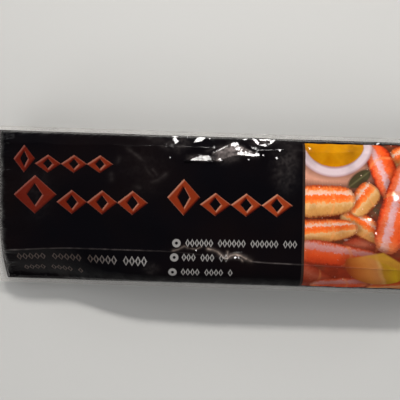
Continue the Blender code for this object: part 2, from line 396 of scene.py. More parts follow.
def pocket(x, y):
    """A loose pocket of film: raised between its two rims, highest at the lower one."""
    low, high = pocket_rims(x)
    rise = np.interp(x, POCKET_X, POCKET_RISE, left=0, right=0)
    share = np.clip((y - low) / (high - low), 0, 1)
    inside = blend(1.0, POCKET_SLOPE, share)
    below = np.exp(np.minimum(0, y - low) / POCKET_RIM)
    above = np.exp(np.minimum(0, high - y) / POCKET_RIM)
    return rise * inside * below * above


def in_pocket(x, y):
    low, high = pocket_rims(x)
    past_end = smooth_step(POCKET_X[-1], POCKET_X[-1] + POCKET_BLUR, x)
    within = smooth_step(POCKET_X[2], POCKET_X[3], x) * (1 - past_end)
    return within * smooth_step(0, POCKET_BLUR, y - low) * smooth_step(0, POCKET_BLUR, high - y)


def shoulder(x, y):
    in_gap = smooth_step(*SHOULDER_GAP[0], x) * (1 - smooth_step(*SHOULDER_GAP[1], x))
    crest = SHOULDER_Y + SHOULDER_WAVE * noise(x, np.zeros_like(x), SHOULDER_PACE, seed=27)
    return SHOULDER_HEIGHT * (1 - in_gap) * np.exp(-np.abs(y - crest) / SHOULDER_HALF_WIDTH)


def pinches(x, y):
    cones = [height * (1 - far_from(x, y, middle, radii)) for middle, radii, height in PINCHES]
    return np.maximum(0, np.max(cones, axis=0))


def crinkles(x, y):
    amount = CRINKLE_EVERYWHERE
    for middle, radii, height in CRINKLES:
        amount = amount + height * np.exp(-(far_from(x, y, middle, radii) ** 4))
    return amount * (crumple(x, y, CRINKLE_PACE, seed=11) - 0.5)


def tucks(x, y):
    """Short folds at right angles to the edges, at random places."""
    draw = np.random.default_rng(5)
    total = np.zeros_like(x)
    edges = (
        (TUCKS_PER_SIDE, HALF_LENGTH, lambda s, d: (s, HALF_WIDTH - d)),
        (TUCKS_PER_SIDE, HALF_LENGTH, lambda s, d: (s, d - HALF_WIDTH)),
        (TUCKS_PER_END, HALF_WIDTH, lambda s, d: (HALF_LENGTH - d, s)),
        (TUCKS_PER_END, HALF_WIDTH, lambda s, d: (d - HALF_LENGTH, s)),
    )
    for count, half_side, place in edges:
        for _ in range(count):
            along = draw.uniform(-TUCKS_WITHIN, TUCKS_WITHIN) * half_side
            length = draw.uniform(*TUCK_LENGTH)
            lean = draw.uniform(-TUCK_LEAN, TUCK_LEAN) * length
            height = draw.uniform(*TUCK_HEIGHT)
            crest = (place(along, TUCK_START), place(along + lean, length))
            total += ridge(x, y, crest, TUCK_WIDTH, height)
    return total


def crease_ridge(x, y):
    """The thin raised line along the crease, of uneven height."""
    share, pace = CREASE_RIDGE_UNEVEN
    uneven = 1 + share * noise(x, np.zeros_like(x), pace, seed=23)
    return CREASE_RIDGE * uneven * np.exp(-np.abs(y - crease_y(x)) / CREASE_RIDGE_WIDTH)


# The crease's pale line: worn print and painted highlight.
def crease_wear_and_highlight(x, y):
    amount = np.interp(x, CREASE_WEAR_HIGHLIGHT_X, CREASE_WEAR_HIGHLIGHT)
    return amount * np.exp(-(((y - crease_y(x)) / CREASE_WEAR_HIGHLIGHT_WIDTH) ** 2))


def haze_and_reflection(x, y):
    """How milky the film is, with its painted reflections and painted sheen, from 0 to 1."""
    least, more = HAZE_SHARES
    uneven = least + more * smooth_step(*HAZE_FROM, crumple(x, y, HAZE_PACE, seed=51))
    grain = 1 - HAZE_GRAIN / 2 + HAZE_GRAIN * noise(x, y, HAZE_GRAIN_PACE, seed=53)
    veil = np.maximum(patches(x, y, HAZE_AND_REFLECTION_PATCHES), POCKET_HAZE_AND_REFLECTION * in_pocket(x, y)) * uneven * grain
    broken = 1 - SHEEN_STROKES_BROKEN + SHEEN_STROKES_BROKEN * noise(x, y, SHEEN_STROKE_PACE, seed=52)
    return np.maximum(veil, np.maximum(strokes(x, y, SHEEN_STROKES), crease_wear_and_highlight(x, y)) * broken)


def scuffs_and_highlights(x, y):
    """How far the print is worn pale along the sharper folds, with a painted highlight on their crests, from
    0 to 1.
    """
    return strokes(x, y, WORN_AND_HIGHLIGHT_LINES) * (1 - WORN_HIGHLIGHT_BROKEN + WORN_HIGHLIGHT_BROKEN * noise(x, y, WORN_HIGHLIGHT_PACE, seed=61))


def wrinkles(x, y):
    folds = sum(ridge(x, y, *each) for each in RIDGES)
    small = crease_ridge(x, y) + pinches(x, y) + crinkles(x, y) + tucks(x, y)
    return pocket(x, y) + folds + shoulder(x, y) + small


# ---- forms of the pouch, on arrays of places ----


def draw_in(x, y):
    low = np.clip(0.5 - 0.5 * y / HALF_WIDTH, 0, 1)
    return x + DRAWN_IN * low**DRAWN_IN_POWER * smooth_step(DRAWN_IN_FROM, -HALF_LENGTH, x)


def roll(share, power):
    return np.sqrt(np.maximum(0, 1 - np.abs(share) ** power))


def seal_level(x, y):
    up = 0.5 + 0.5 * np.clip(y / HALF_WIDTH, -1, 1)
    share, pace, shift = SEAL_SLOW
    wave = share * np.sin(x / pace + shift)
    share, along, across = SEAL_FAST
    wave = wave + share * np.sin(x / along + y / across)
    return blend(SEAL_LEVEL_BOTTOM, SEAL_LEVEL_TOP, up) + SEAL_WAVE * wave


def crease_y(x):
    left_from, right_from = CREASE_DROOP_FROM
    left_share = np.maximum(0, (left_from - x) / (left_from + HALF_LENGTH))
    right_share = np.maximum(0, (x - right_from) / (HALF_LENGTH - right_from))
    droop = CREASE_DROOP_LEFT * left_share**CREASE_DROOP_POWER + CREASE_DROOP_RIGHT * right_share
    return blend(CREASE_Y_LEFT, CREASE_Y_RIGHT, smooth_step(*CREASE_BEND, x)) - droop


def strip_drop(x, y):
    past = crease_y(x) - y
    rounded = 0.5 * (past + np.hypot(past, CREASE_RADIUS))
    tilt = blend(STRIP_TILT_LEFT, STRIP_TILT_RIGHT, smooth_step(*STRIP_TWIST, x))
    return rounded * np.tan(tilt)


def lump(x, y, middle, degrees, half_length, half_width, height):
    turn = math.radians(degrees)
    east = x - middle[0]
    north = y - middle[1]
    along = (east * math.cos(turn) + north * math.sin(turn)) / half_length
    across = (north * math.cos(turn) - east * math.sin(turn)) / half_width
    return height * np.exp(-(along**4) - across**2)


def front_level(x, y):
    crown = FRONT_CROWN * (1 - (x / HALF_LENGTH) ** 2) * (1 - (y / HALF_WIDTH) ** 2)
    lumps = sum(lump(x, y, *each) for each in LUMPS)
    return FRONT_LEVEL + crown + lumps - strip_drop(x, y)


def gathers(x, y, end_roll, side_roll, pleats=1):
    """Gathers, with finer pleats on them, where the film rolls down to the seal."""

    def waves(along, across, form, seed):
        pace, bend, length, width = form
        gather = np.sin(along / pace + bend * np.sin(along / length + across / width))
        sway = PLEAT_SWAY * noise(x, y, PLEAT_SWAY_PACE, seed)
        return GATHER_HEIGHT * gather + pleats * PLEAT_HEIGHT * np.sin(along / PLEAT_PACE + sway)

    on_sides = (1 - side_roll) * waves(x, y, GATHERS_ON_SIDES, seed=31)
    on_ends = (1 - end_roll) * waves(y, x, GATHERS_ON_ENDS, seed=32)
    return (on_sides + on_ends) * end_roll * side_roll


def front_height(x, y, relief):
    """The height of the front film, with this relief of small folds on it."""
    seal = seal_level(x, y)
    end_roll = roll(x / HALF_LENGTH, END_POWER)
    side_roll = roll(y / HALF_WIDTH, SIDE_POWER)
    rise = (front_level(x, y) + relief - seal) * end_roll * side_roll
    return seal + FILM_THICKNESS / 2 + rise + gathers(x, y, end_roll, side_roll)


def mirror_slope(place):
    """The slope, along X and Y, of a facet here that mirrors the key light to the camera's place."""
    half = (Vector(KEY_PLACE) - place).normalized() + (Vector(CAMERA_PLACE) - place).normalized()
    return -half.x / half.z, -half.y / half.z


def how_far_outside(x, y, corners):
    """Signed distance to a convex outline, below 0 inside."""
    sides = list(zip(corners, corners[1:] + corners[:1]))
    turn = math.copysign(1, sum(x0 * y1 - x1 * y0 for (x0, y0), (x1, y1) in sides))
    gaps = [
        turn * ((x - x0) * (y1 - y0) - (y - y0) * (x1 - x0)) / math.hypot(x1 - x0, y1 - y0)
        for (x0, y0), (x1, y1) in sides
    ]
    return np.max(gaps, axis=0)


def with_facets(x, y, height):
    for corners in FACETS:
        middle = np.mean(corners, axis=0)
        level = float(front_height(*middle, relief=wrinkles(*middle)))
        slope = mirror_slope(Vector((*middle, level)))
        plane = level + slope[0] * (x - middle[0]) + slope[1] * (y - middle[1])
        height = blend(height, plane, 1 - smooth_step(0, FACET_FADE, how_far_outside(x, y, corners)))
    return height


def glints(x, y):
    """How the shading turns on the glints: a direction as long as its share, 0 elsewhere."""
    turned = np.zeros((*x.shape, 3))
    uneven = [GLINT_UNEVEN * noise(x, y, GLINT_PACE, seed) for seed in (71, 72)]
    for corners in GLINTS:
        middle = np.mean(corners, axis=0)
        slope = mirror_slope(Vector((*middle, float(front_height(*middle, relief=0)))))
        facing = np.stack([uneven[0] - slope[0], uneven[1] - slope[1], np.ones_like(x)], axis=-1)
        facing /= np.linalg.norm(facing, axis=-1, keepdims=True)
        share = 1 - smooth_step(0, GLINT_FADE, how_far_outside(x, y, corners))[..., None]
        turned = np.where(share > np.linalg.norm(turned, axis=-1, keepdims=True), facing * share, turned)
    return turned


def shine(x, y):
    """Where the film is drawn smooth and mirrors sharply, from 0 to 1."""
    gaps = [how_far_outside(x, y, corners) for corners in FACETS + GLINTS]
    return 1 - smooth_step(0, FACET_FADE, np.min(gaps, axis=0))


def back_height(x, y):
    end_roll = roll(x / HALF_LENGTH, BACK_POWER)
    side_roll = roll(y / HALF_WIDTH, BACK_POWER)
    lifted = np.maximum(0, 1 - BACK_SPREAD * end_roll * side_roll) ** BACK_EASE
    level = seal_level(x, y) - FILM_THICKNESS / 2
    return np.maximum(0, (level + gathers(x, y, end_roll, side_roll, BACK_PLEATS)) * lifted)


# ---- meshes ----

FRONT_COLUMNS = 530
FRONT_ROWS_ABOVE = 126  # from the crease to the top of the print
FRONT_ROWS_BELOW = 56
BACK_COLUMNS = 300
BACK_ROWS = 100
CROWDING = 0.55
END_ZONE = 0.012  # columns are closer together this near the ends
WRINKLED_X = (-0.048, 0.046)  # and between these places
COLUMN_DENSITY = 1.4
FINE_LINES = 20  # for each column, from which the columns' places are picked
STEEP = (0.06, 0.40)  # how far down the rolled edge the film starts and ends to be steep
BAKE_MAP = "OFBake"
BAKE_MAP_RIM = 0.005


def crowded(share):
    """Even steps from 0 to 1 made closer together at both ends."""
    return blend(share, 0.5 - 0.5 * np.cos(np.pi * share), CROWDING)


def column_lines(count):
    """Places along X, closer together at the rolled ends and where the film is wrinkled."""
    fine = np.linspace(-HALF_LENGTH, HALF_LENGTH, FINE_LINES * count)
    at_ends = smooth_step(HALF_LENGTH - 2 * END_ZONE, HALF_LENGTH - END_ZONE, np.abs(fine))
    middle = (WRINKLED_X[0] + WRINKLED_X[1]) / 2
    half = (WRINKLED_X[1] - WRINKLED_X[0]) / 2
    wrinkled = 1 - smooth_step(half, half + END_ZONE, np.abs(fine - middle))
    total = np.cumsum(1 + COLUMN_DENSITY * (at_ends + wrinkled))
    total = (total - total[0]) / (total[-1] - total[0])
    return np.interp(np.linspace(0, 1, count + 1), total, fine)


def grid_mesh(name, columns, rows, half_side=1):
    """A square grid, with the column and row of each of its corners."""
    sheet = bmesh.new()
    bmesh.ops.create_grid(sheet, x_segments=columns, y_segments=rows, size=half_side)
    mesh = bpy.data.meshes.new(name)
    sheet.to_mesh(mesh)
    sheet.free()
    places = np.empty(len(mesh.vertices) * 3)
    mesh.vertices.foreach_get("co", places)
    shares = places.reshape(-1, 3)[:, :2] / (2 * half_side) + 0.5
    column, row = np.rint(shares * (columns, rows)).astype(int).T
    return mesh, column, row


def set_places(mesh, x, y, z):
    mesh.vertices.foreach_set("co", np.stack([x, y, z], axis=1).ravel())
    mesh.shade_smooth()
    mesh.update()


def set_values(mesh, name, *columns):
    """Keeps a number, or a vector of two or three, at each corner of the mesh."""
    if len(columns) == 1:
        mesh.attributes.new(name, "FLOAT", "POINT").data.foreach_set("value", columns[0])
        return
    vectors = np.zeros((len(mesh.vertices), 3))
    vectors[:, : len(columns)] = np.stack(columns, axis=1)
    mesh.attributes.new(name, "FLOAT_VECTOR", "POINT").data.foreach_set("vector", vectors.ravel())


def set_bake_map(mesh, x, y):
    """A map seen from above that fills its square."""
    corners = np.empty(len(mesh.loops), dtype=int)
    mesh.loops.foreach_get("vertex_index", corners)
    shares = [(each - each.min()) / (each.max() - each.min()) for each in (x, y)]
    flat = np.stack(shares, axis=1)[corners]
    layer = mesh.uv_layers.new(name=BAKE_MAP)
    layer.data.foreach_set("uv", blend(BAKE_MAP_RIM, 1 - BAKE_MAP_RIM, flat).ravel())


def set_steepness(mesh, x, y, end_power, side_power):
    """How far each corner is down the long sides and down the ends, from 0 to 1."""
    down_side = smooth_step(*STEEP, 1 - roll(y / HALF_WIDTH, side_power))
    down_end = smooth_step(*STEEP, 1 - roll(x / HALF_LENGTH, end_power))
    set_values(mesh, "steep", down_side, down_end)


def lengths_along(x, y, z, axis, zero_at):
    """Length along the film from one of its lines, at each corner of the grid."""
    steps = np.sqrt(sum(np.diff(each, axis=axis) ** 2 for each in (x, y, z)))
    total = np.insert(np.cumsum(steps, axis=axis), 0, 0, axis=axis)
    return total - np.take(total, [zero_at], axis=axis)


def make_front_film():
    rows = FRONT_ROWS_ABOVE + FRONT_ROWS_BELOW
    mesh, column, row = grid_mesh("front_film", FRONT_COLUMNS, rows)
    x_lines = column_lines(FRONT_COLUMNS)
    below = crowded(np.linspace(0, 1, FRONT_ROWS_BELOW + 1))[:-1]
    above = crowded(np.linspace(0, 1, FRONT_ROWS_ABOVE + 1))
    crease = crease_y(x_lines)
    y = np.concatenate(
        [
            blend(-HALF_WIDTH, crease[None, :], below[:, None]),
            blend(crease[None, :], HALF_WIDTH, above[:, None]),
        ]
    )
    x = np.broadcast_to(x_lines, y.shape)
    z = with_facets(x, y, front_height(x, y, relief=wrinkles(x, y)))
    smooth = front_height(x, y, relief=0)
    placed_x = draw_in(x, y)
    middle = np.argmin(np.abs(x_lines))
    along = lengths_along(placed_x, y, smooth, axis=1, zero_at=middle) + x_lines[middle]
    across = lengths_along(placed_x, y, smooth, axis=0, zero_at=FRONT_ROWS_BELOW) + crease[None, :]
    set_places(mesh, placed_x[row, column], y[row, column], z[row, column])
    set_values(mesh, "print_place", along[row, column], across[row, column])
    loose = patches(x, y, LOOSE)
    # the milky-film and worn-fold numbers also carry painted reflection, sheen and highlight
    numbers = {"haze_and_reflection": haze_and_reflection(x, y), "loose": loose, "scuffs_and_highlights": scuffs_and_highlights(x, y), "shine": shine(x, y)}
    for name, values in numbers.items():
        set_values(mesh, name, values[row, column])
    set_steepness(mesh, x[row, column], y[row, column], END_POWER, SIDE_POWER)
    set_values(mesh, "glint", *np.moveaxis(glints(x, y)[row, column], -1, 0))
    set_bake_map(mesh, x[row, column], y[row, column])
    return piece("front_film", mesh)


def make_back_film():
    mesh, column, row = grid_mesh("back_film", BACK_COLUMNS, BACK_ROWS)
    x_lines = column_lines(BACK_COLUMNS)
    y_lines = blend(-HALF_WIDTH, HALF_WIDTH, crowded(np.linspace(0, 1, BACK_ROWS + 1)))
    x = x_lines[column]
    y = y_lines[row]
    set_places(mesh, draw_in(x, y), y, back_height(x, y))
    set_steepness(mesh, x, y, BACK_POWER, BACK_POWER)
    set_bake_map(mesh, x, y)
    mesh.flip_normals()
    return piece("back_film", mesh)


def piece(name, data):
    """An object in the scene, made of a mesh, a lamp or a lens."""
    made = bpy.data.objects.new(name, data)
    bpy.context.scene.collection.objects.link(made)
    return made


# ---- the clear sealed margin ----

MARGIN_SIDE_CELLS = 620
MARGIN_END_CELLS = 200
MARGIN_CORNER_CELLS = 8
MARGIN_ACROSS_CELLS = 10
MARGIN_OVERLAP = 0.0004  # how far it reaches under the front film's edge
OUTER_CORNER = 0.0032
INNER_CORNER = 0.0004
CRIMP_HEIGHT = 0.00022
CRIMP_PACE = 0.0090
CRIMP_FINE = 0.6  # the finer ones, as a share
MARGIN_SHARP = math.radians(60)  # edges that turn more than this are sharp
NOISE_SHIFT = 1  # metres, to cells that the other noises don't use


def rounded_outline(half_length, half_width, corner):
    """A rectangle with round corners as a closed run of points, anticlockwise."""
    arcs = []
    for side_x, side_y, first_degrees in ((1, 1, 0), (-1, 1, 90), (-1, -1, 180), (1, -1, 270)):
        turn = np.radians(first_degrees + np.linspace(0, 90, MARGIN_CORNER_CELLS + 1))
        x = side_x * (half_length - corner) + corner * np.cos(turn)
        y = side_y * (half_width - corner) + corner * np.sin(turn)
        arcs.append(np.stack([x, y], axis=1))
    points = []
    for arc, following, cells in zip(arcs, arcs[1:] + arcs[:1], (MARGIN_SIDE_CELLS, MARGIN_END_CELLS) * 2):
        share = np.linspace(0, 1, cells + 1)[1:-1, None]
        points += [arc, blend(arc[-1], following[0], share)]
    return np.concatenate(points)


def make_margin():
    inner = rounded_outline(HALF_LENGTH - MARGIN_OVERLAP, HALF_WIDTH - MARGIN_OVERLAP, INNER_CORNER)
    outer = rounded_outline(HALF_LENGTH + END_MARGIN, HALF_WIDTH + SIDE_MARGIN, OUTER_CORNER)
    share = np.linspace(0, 1, MARGIN_ACROSS_CELLS + 1)[:, None]
    x = blend(inner[:, 0], outer[:, 0], share)
    y = blend(inner[:, 1], outer[:, 1], share)
    places = (x + NOISE_SHIFT, y + NOISE_SHIFT)
    crimps = noise(*places, CRIMP_PACE, seed=41)
    crimps += CRIMP_FINE * noise(*places, CRIMP_PACE / 2, seed=42)
    middle = seal_level(x, y) + CRIMP_HEIGHT * crimps * share
    x = draw_in(x, y)
    share = np.broadcast_to(share, x.shape)
    x, y, middle, share = (np.concatenate([each, each[::-1]]) for each in (x, y, middle, share))
    z = middle + np.repeat((FILM_THICKNESS / 2, -FILM_THICKNESS / 2), MARGIN_ACROSS_CELLS + 1)[:, None]
    rows, columns = x.shape
    count = np.arange(rows * columns).reshape(rows, columns)
    next_row = np.roll(count, -1, axis=0)
    faces = np.stack(
        [count, next_row, np.roll(next_row, -1, axis=1), np.roll(count, -1, axis=1)], axis=2
    )
    mesh = bpy.data.meshes.new("clear_margin")
    places = np.stack([x.ravel(), y.ravel(), z.ravel()], axis=1)
    mesh.from_pydata(places.tolist(), [], faces.reshape(-1, 4).tolist())
    set_values(mesh, "seal_place", share.ravel())
    mesh.shade_smooth()
    mesh.set_sharp_from_angle(angle=MARGIN_SHARP)
    mesh.update()
    return piece("clear_margin", mesh)


# ---- print: numbers that vary over the film, made of shader nodes ----

MIX_COLOURS = (6, 7)  # a Mix node's inputs for colours, after those for numbers and vectors
MIX_RESULT = 2


def feed(tree, node, inputs):
    """Gives these inputs of a node plain values, sockets or fields."""
    for name, value in inputs.items():
        if isinstance(value, Field):
            value = value.socket
        if isinstance(value, bpy.types.NodeSocket):
            tree.links.new(value, node.inputs[name])
        else:
            node.inputs[name].default_value = value


def add_node(tree, kind, inputs, **settings):
    node = tree.nodes.new("ShaderNode" + kind)
    for name, value in settings.items():
        setattr(node, name, value)
    feed(tree, node, inputs)
    return node


def vector_math(tree, operation, inputs):
    node = add_node(tree, "VectorMath", inputs, operation=operation)
    return next(each for each in node.outputs if each.enabled)


class Field:
    """A number that varies over a surface, as a shader socket whose arithmetic adds math nodes."""

    def __init__(self, tree, socket):
        self.tree = tree
        self.socket = socket

    def made_by(self, operation, *others, clamp=False):
        inputs = dict(enumerate((self, *others)))
        node = add_node(self.tree, "Math", inputs, operation=operation, use_clamp=clamp)
        return Field(self.tree, node.outputs[0])

    __add__ = partialmethod(made_by, "ADD")
    __sub__ = partialmethod(made_by, "SUBTRACT")
    __mul__ = partialmethod(made_by, "MULTIPLY")
    __truediv__ = partialmethod(made_by, "DIVIDE")
    __abs__ = partialmethod(made_by, "ABSOLUTE")
    part_of_one = partialmethod(made_by, "FRACT")
    highest = partialmethod(made_by, "MAXIMUM")
    lowest = partialmethod(made_by, "MINIMUM")

    def inside(self, blur):
        """1 where a signed distance is below 0, with an edge that is blur wide."""
        return self.made_by("MULTIPLY_ADD", -1 / blur, 0.5, clamp=True)

    def ramp(self, start, end):
        """0 at start and 1 at end."""
        return self.made_by("MULTIPLY_ADD", 1 / (end - start), -start / (end - start), clamp=True)


def ink(red, green, blue):
    """A colour given as 0 to 255 on a screen, in the shader's linear values."""
    shares = (each / 255 for each in (red, green, blue))
    return (*(s / 12.92 if s < 0.04045 else ((s + 0.055) / 1.055) ** 2.4 for s in shares), 1)


def stops(*rows):
    """Colours side by side, each given as its place from 0 to 1 and its ink."""
    return tuple((place, ink(*colour)) for place, *colour in rows)


def shades(tree, field, colours):
    """The colour out of such a row, or one like it, that a field or socket picks."""
    node = add_node(tree, "ValToRGB", {0: field})
    elements = node.color_ramp.elements
    elements[0].position, elements[0].color = colours[0]
    elements[1].position, elements[1].color = colours[-1]
    for place, colour in colours[1:-1]:
        elements.new(place).color = colour
    return node.outputs[0]


def mixed(share, first, second):
    """A colour between two, which is the second where the share is 1."""
    inputs = {0: share, MIX_COLOURS[0]: first, MIX_COLOURS[1]: second}
    return add_node(share.tree, "Mix", inputs, data_type="RGBA").outputs[MIX_RESULT]


class Print:
    """The colour of a film, painted from the back forwards."""

    def __init__(self, tree, ground):
        self.tree = tree
        self.colour = ground

    def lay(self, mask, colour):
        self.colour = mixed(mask, self.colour, colour)


class Plane:
    """A vector that varies over a surface. For the print it's the place, in metres: u right, v up."""

    def __init__(self, tree, vector):
        self.tree = tree
        self.vector = vector
        split = add_node(tree, "SeparateXYZ", {0: vector})
        self.u, self.v, self.w = (Field(tree, each) for each in split.outputs)

    def placed(self, middle=(0, 0), size=(1, 1), degrees=0):
        """The plane seen from a shape that has this size and is turned."""
        inputs = {
            "Vector": self.vector,
            "Location": (*middle, 0),
            "Rotation": (0, 0, math.radians(degrees)),
            "Scale": (*size, 1),
        }
        return Plane(self.tree, add_node(self.tree, "Mapping", inputs, vector_type="TEXTURE").outputs[0])

    def radius(self):
        return Field(self.tree, vector_math(self.tree, "LENGTH", {0: self.vector}))

    def rectangle(self, half_length, half_width):
        return (abs(self.u) - half_length).highest(abs(self.v) - half_width)

    def mottle(self, scale, detail=3):
        inputs = {"Vector": self.vector, "Scale": scale, "Detail": detail}
        return Field(self.tree, add_node(self.tree, "TexNoise", inputs).outputs["Fac"])


# ---- print: what it shows, in metres of its own plane ----

PRINT_TURN = 1.0  # degrees that the print is turned on the pack
EDGE_BLUR = 0.00045
FILM_BLACK = ink(9, 8, 11)
FILM_BLACK_WARM = ink(15, 10, 11)

# The titles' places: chains of hollow lozenges with a bevelled look
TITLE_DARK = ink(84, 22, 14)  # at the left end of the titles
TITLE_LIGHT = ink(136, 51, 23)  # at the right end
TITLE_SHINE_DARK = ink(118, 64, 56)
TITLE_SHINE_LIGHT = ink(184, 124, 98)
TITLE_SHADE = ink(66, 16, 10)
TITLE_LEFT = -0.165
TITLE_RIGHT = 0.054
BEVEL = 0.0008
TITLE_HOLLOW = (0.36, 0.58)
# Left end, width of the tall lozenge, right end, base line, height of the others, of the tall one, how many
TITLE_CHAINS = (
    (-0.1650, 0.0175, -0.0863, 0.0288, 0.0140, 0.0215, 3),
    (-0.1644, 0.0345, -0.0589, -0.0034, 0.0188, 0.0300, 3),
    (-0.0437, 0.0255, 0.0537, -0.0034, 0.0180, 0.0285, 3),
)

# The small rows' places: left end, right end, middle line, height, how many lozenges, one in so many left out
ROW_GREY_LEFT = ink(74, 64, 60)
ROW_GREY = ink(138, 135, 133)
ROW_LIGHT_FROM = (-0.105, -0.060)  # the left row brightens between these places
ROW_HOLLOW = (0.44, 0.72)
SMALL_ROWS = (
    (-0.1635, -0.0590, -0.0400, 0.0085, 22, 6),
    (-0.1610, -0.1120, -0.0545, 0.0066, 11, 5),
    (-0.0293, 0.0578, -0.0246, 0.0064, 24, 7),
    (-0.0320, 0.0045, -0.0360, 0.0064, 10, 4),
    (-0.0325, 0.0080, -0.0480, 0.0064, 11, 5),
)
BULLETS = ((-0.0362, -0.0248), (-0.0378, -0.0362), (-0.0390, -0.0484))
BULLET_RADIUS = 0.0033
BULLET_HOLE = 0.0012


def lozenge(across, up, half_size, hollow):
    """Signed size of a hollow diamond, from the distances across and up from its middle."""
    outer = across * (1 / half_size[0]) + up * (1 / half_size[1]) - 1.0
    inner = across * (1 / (half_size[0] * hollow[0])) + up * (1 / (half_size[1] * hollow[1])) - 1.0
    return (outer * half_size[1]).highest(inner * (-half_size[1] * hollow[1]))


def lozenge_row(plane, left, right, middle_v, height, count, hollow):
    """Equal lozenges side by side, worked out once and repeated along u."""
    pitch = (right - left) / count
    across = abs((((plane.u - left) * (1 / pitch)).part_of_one() - 0.5) * pitch)
    shape = lozenge(across, abs(plane.v - middle_v), (pitch / 2, height / 2), hollow)
    return shape.highest(abs(plane.u - (left + right) / 2) - (right - left) / 2)


def title_shape(plane):
    """Signed distance to all the ornaments in the titles' places."""
    shapes = []
    for left, tall_width, right, base, height, tall, count in TITLE_CHAINS:
        across = abs(plane.u - (left + tall_width / 2))
        up = abs(plane.v - (base + tall / 2))
        shapes.append(lozenge(across, up, (tall_width / 2, tall / 2), TITLE_HOLLOW))
        row = (left + tall_width, right, base + height / 2, height, count)
        shapes.append(lozenge_row(plane, *row, TITLE_HOLLOW))
    return reduce(Field.lowest, shapes)


def paint_titles(art, plane):
    face = title_shape(plane).inside(EDGE_BLUR)
    lit_side = title_shape(plane.placed((BEVEL, -BEVEL))).inside(BEVEL * 2)
    dark_side = title_shape(plane.placed((-BEVEL, BEVEL))).inside(BEVEL * 2)
    share = plane.u.ramp(TITLE_LEFT, TITLE_RIGHT)
    shine = mixed(share, TITLE_SHINE_DARK, TITLE_SHINE_LIGHT)
    shaded = mixed(dark_side, TITLE_SHADE, mixed(share, TITLE_DARK, TITLE_LIGHT))
    art.lay(face, mixed(lit_side, shine, shaded))


def paint_small_rows(art, plane):
    grey = mixed(plane.u.ramp(*ROW_LIGHT_FROM), ROW_GREY_LEFT, ROW_GREY)
    for left, right, middle, height, count, skip in SMALL_ROWS:
        row = lozenge_row(plane, left, right, middle, height, count, ROW_HOLLOW)
        group = ((plane.u - left) * (count / (right - left) / skip)).part_of_one()
        gap = (group - (1 - 1 / skip)) * (right - left)
        art.lay(row.highest(gap).inside(EDGE_BLUR), grey)
    for middle in BULLETS:
        distance = plane.placed(middle).radius()
        ring = (distance - BULLET_RADIUS).highest((distance - BULLET_HOLE) * -1)
        art.lay(ring.inside(EDGE_BLUR), ROW_GREY)


# ---- print: the food panel, in metres from its top left corner ----

PANEL_CORNER = (0.0635, 0.0562)
PANEL_SIZE = (0.1060, 0.1200)
PANEL_LINE = ink(46, 36, 32)
PANEL_LINE_WIDTH = 0.0009
PANEL_LINE_GAP = 0.0011
PANEL_BLUR = 0.0008  # the picture's own softness
GROUND_DARK = ink(58, 24, 18)
GROUND_RED = ink(122, 42, 24)
GROUND_OLIVE = ink(84, 70, 48)
GROUND = ((0.30, GROUND_DARK), (0.48, GROUND_RED), (0.60, GROUND_OLIVE), (0.72, GROUND_DARK))
GROUND_SCALE = 60

PLATE_MIDDLE = (0.018, -0.016)
PLATE_SIZE = (0.046, 0.026)
PLATE_BLUR = 0.10  # blurs of round shapes are shares of their size
PLATE_RIM_FROM = 0.55
PLATE_PINK = ink(204, 146, 122)
PLATE_DARK = ink(120, 64, 50)
DISH_MIDDLE = (0.0225, 0.0005)
DISH_INSIDE = (0.0240, 0.0202)
DISH_OUTSIDE = (0.0305, 0.0282)
DISH_RIM_FROM = 0.74
DISH_BLUR = 0.035
SAUCE_SCALE = 1.6
SAUCE_FROM = (0.35, 0.65)
SAUCE_BLUR = 0.04
SAUCE_DEEP = ink(182, 114, 5)
SAUCE_LIGHT = ink(197, 134, 14)
DISH_RIM = stops(
    (0.0, 168, 130, 130), (0.2, 206, 184, 188), (0.7, 206, 184, 188), (1.0, 168, 130, 130)
)

# Colours across a leg, from one edge to the other
SHELL = stops(
    (0.00, 138, 34, 16), (0.09, 206, 62, 24), (0.28, 232, 88, 34), (0.42, 234, 104, 56),
    (0.49, 220, 154, 148), (0.64, 224, 176, 178), (0.72, 236, 122, 78), (0.90, 222, 74, 28),
    (1.00, 132, 38, 20),
)
CLAW = stops(
    (0.00, 120, 66, 32), (0.08, 194, 132, 70), (0.28, 208, 150, 84), (0.42, 226, 176, 120),
    (0.46, 246, 138, 62), (0.60, 240, 98, 34), (0.68, 242, 112, 48), (0.72, 230, 186, 166),
    (0.80, 232, 172, 138), (0.86, 244, 124, 58), (1.00, 190, 74, 32),
)
LOWER = stops(
    (0.00, 92, 24, 12), (0.10, 188, 56, 22), (0.40, 226, 82, 34), (0.54, 222, 94, 54),
    (0.62, 206, 134, 126), (0.80, 208, 152, 146), (0.91, 216, 100, 64), (1.00, 146, 50, 30),
)
SHADED_LEG = stops(
    (0.00, 70, 26, 20), (0.30, 138, 62, 42), (0.60, 172, 96, 72), (0.85, 158, 66, 44),
    (1.00, 96, 38, 28),
)
